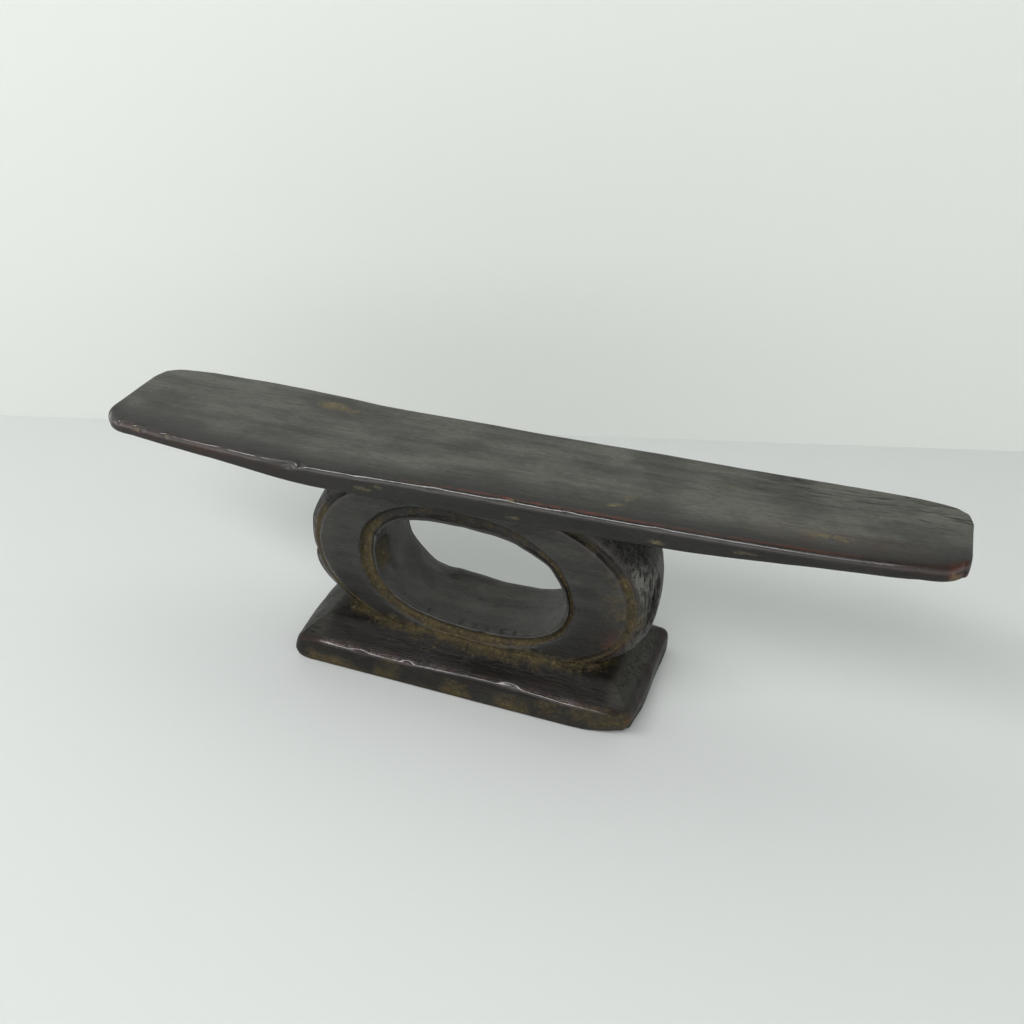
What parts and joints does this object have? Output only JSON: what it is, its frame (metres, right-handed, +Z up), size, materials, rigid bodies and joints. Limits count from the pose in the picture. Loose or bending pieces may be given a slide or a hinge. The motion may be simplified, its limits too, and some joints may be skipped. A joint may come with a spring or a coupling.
{
  "type": "carved wooden headrest",
  "caption": "Carved dark wooden headrest: a long, thin, slightly dished headboard carried on an oval loop that stands on a hipped rectangular foot.",
  "frame": {"origin": "on the ground under the middle of the headboard", "axes": "+Z up, +X along the headboard, -Y towards the front of the loop's opening"},
  "size_m": [0.4894, 0.0878, 0.1513],
  "materials": {
    "polished_wood": "dark handled patina, worn to a soft shine",
    "dark_wood": "dark carved wood, satin with dust in the hollows"
  },
  "bodies": {
    "root": {"headboard": "polished_wood", "loop_support": "dark_wood", "foot": "dark_wood"}
  },
  "joints": []
}
